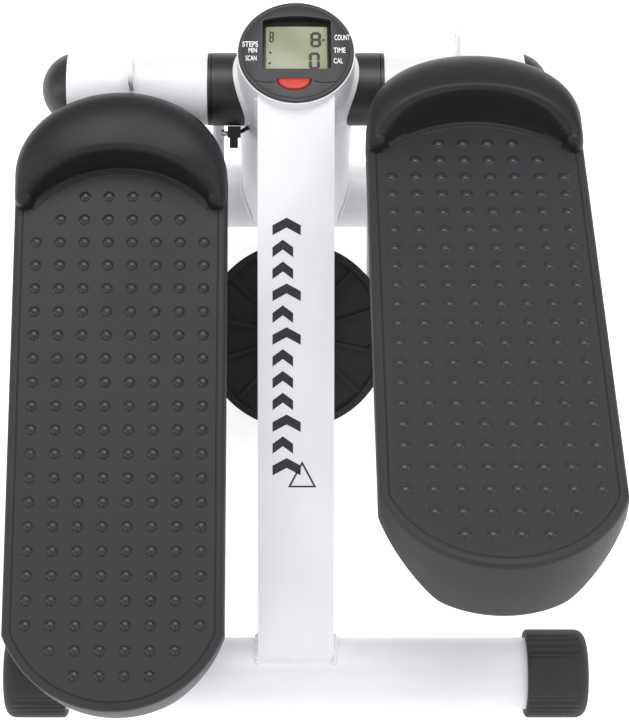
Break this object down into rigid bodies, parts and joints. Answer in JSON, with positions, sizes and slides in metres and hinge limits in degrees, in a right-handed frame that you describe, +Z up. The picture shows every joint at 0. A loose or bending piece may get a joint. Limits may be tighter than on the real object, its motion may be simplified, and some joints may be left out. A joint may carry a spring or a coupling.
{
  "type": "mini stepper",
  "caption": "Low stepper with two hinged foot pedals, sloping main tube, round display post, dampers and a rocking balance disc.",
  "frame": {"origin": "centre of the floor footprint, on the floor, with the left pedal down and the right pedal up", "axes": "+Z up, +Y forward from the heel end to the display post, +X to the user's right"},
  "size_m": [0.324, 0.3854, 0.2805],
  "materials": {
    "painted_tube": "white gloss powder coat",
    "foot_rubber": "matt moulded rubber",
    "black_plastic": "fine moulded grain",
    "pedal_plastic": "fine moulded grain",
    "display_plastic": "satin",
    "clear_lens": "polished",
    "lcd_glass": "liquid-crystal grey green",
    "red_button": "satin",
    "circuit_board": "solder resist",
    "plated_steel": "zinc plate",
    "bronze": "machined",
    "black_paint": "black enamel",
    "piston_chrome": "hard chrome",
    "lead_sleeve": "soft vinyl"
  },
  "bodies": {
    "frame": {"front_stabiliser": "painted_tube", "rear_stabiliser": "painted_tube", "foot_cap_front_left": "foot_rubber", "foot_cap_front_right": "foot_rubber", "foot_cap_rear_left": "foot_rubber", "foot_cap_rear_right": "foot_rubber", "main_tube": "painted_tube", "post": "painted_tube", "axle": "plated_steel", "axle_nut_left": "plated_steel", "axle_nut_right": "plated_steel", "collar_left": "black_plastic", "collar_right": "black_plastic", "damper_bracket_left": "painted_tube", "damper_bracket_right": "painted_tube", "damper_foot_pin_left": "plated_steel", "damper_foot_pin_right": "plated_steel", "disc_stem": "painted_tube", "disc_bolt": "plated_steel", "display_housing": "display_plastic", "display_lens": "clear_lens", "lcd_panel": "lcd_glass", "circuit_board": "circuit_board", "battery": "plated_steel", "sensor": "black_plastic", "sensor_screw": "plated_steel", "sensor_lead": "lead_sleeve"},
    "button": {"button": "red_button"},
    "balance_disc": {"balance_disc": "black_plastic", "disc_bush": "bronze", "crank_pin_left": "black_paint", "crank_pin_right": "black_paint"},
    "pedal_left": {"sleeve_left": "painted_tube", "bush_inner_left": "black_plastic", "bush_outer_left": "black_plastic", "end_cap_left": "black_plastic", "arm_left": "painted_tube", "pedal_left": "pedal_plastic", "pedal_screws_left": "plated_steel", "lever_left": "painted_tube", "lever_pin_left": "plated_steel", "damper_pin_left": "plated_steel", "magnet": "plated_steel"},
    "tie_rod_left": {"tie_rod_left": "painted_tube"},
    "damper_left": {"damper_left": "black_paint"},
    "damper_rod_left": {"damper_rod_left": "piston_chrome"},
    "pedal_right": {"sleeve_right": "painted_tube", "bush_inner_right": "black_plastic", "bush_outer_right": "black_plastic", "end_cap_right": "black_plastic", "arm_right": "painted_tube", "pedal_right": "pedal_plastic", "pedal_screws_right": "plated_steel", "lever_right": "painted_tube", "lever_pin_right": "plated_steel", "damper_pin_right": "plated_steel"},
    "tie_rod_right": {"tie_rod_right": "painted_tube"},
    "damper_right": {"damper_right": "black_paint"},
    "damper_rod_right": {"damper_rod_right": "piston_chrome"}
  },
  "joints": [
    {"name": "left_pedal", "type": "hinge", "parent": "frame", "child": "pedal_left", "pos_m": [0, 0.1575, 0.149], "axis": [1, 0, 0], "range_deg": [-27.4, 0]},
    {"name": "right_pedal", "type": "hinge", "parent": "frame", "child": "pedal_right", "pos_m": [0, 0.1575, 0.149], "axis": [1, 0, 0], "range_deg": [0, 27.4]},
    {"name": "disc_turn", "type": "hinge", "parent": "frame", "child": "balance_disc", "pos_m": [0, 0.04575, 0.05906], "axis": [0, -0.454, 0.891], "range_deg": [0, 23.64]},
    {"name": "button_press", "type": "slide", "parent": "frame", "child": "button", "axis": [0, 0, -1], "range_m": [0, 0.0012], "stiffness_N_per_m": 400, "springref_m": -0.0005},
    {"name": "tie_rod_left_turn", "type": "hinge", "parent": "balance_disc", "child": "tie_rod_left", "pos_m": [-0.04503, 0.05415, 0.06334], "axis": [0, -0.454, 0.891], "range_deg": [-23.64, 0]},
    {"name": "damper_left_tilt", "type": "hinge", "parent": "frame", "child": "damper_left", "pos_m": [-0.0955, 0.1235, 0.033], "axis": [1, 0, 0], "range_deg": [-14.07, 0]},
    {"name": "damper_left_stroke", "type": "slide", "parent": "damper_left", "child": "damper_rod_left", "axis": [0, -0.7506, 0.6608], "range_m": [0, 0.04887]},
    {"name": "tie_rod_right_turn", "type": "hinge", "parent": "balance_disc", "child": "tie_rod_right", "pos_m": [0.04503, 0.03735, 0.05479], "axis": [0, -0.454, 0.891], "range_deg": [-23.64, 0]},
    {"name": "damper_right_tilt", "type": "hinge", "parent": "frame", "child": "damper_right", "pos_m": [0.0955, 0.1235, 0.033], "axis": [1, 0, 0], "range_deg": [0, 14.07]},
    {"name": "damper_right_stroke", "type": "slide", "parent": "damper_right", "child": "damper_rod_right", "axis": [0, -0.5675, 0.8234], "range_m": [-0.04887, 0]}
  ],
  "couplings": [
    {"joint": "right_pedal", "follows": "left_pedal", "ratio": -1},
    {"joint": "disc_turn", "follows": "left_pedal", "ratio": -0.8627},
    {"joint": "tie_rod_left_turn", "follows": "left_pedal", "ratio": 0.8627},
    {"joint": "damper_left_tilt", "follows": "left_pedal", "ratio": 0.51342},
    {"joint": "damper_left_stroke", "follows": "left_pedal", "m_per_rad": -0.10219},
    {"joint": "tie_rod_right_turn", "follows": "left_pedal", "ratio": 0.8627},
    {"joint": "damper_right_tilt", "follows": "left_pedal", "ratio": -0.51342},
    {"joint": "damper_right_stroke", "follows": "left_pedal", "m_per_rad": 0.10219}
  ]
}
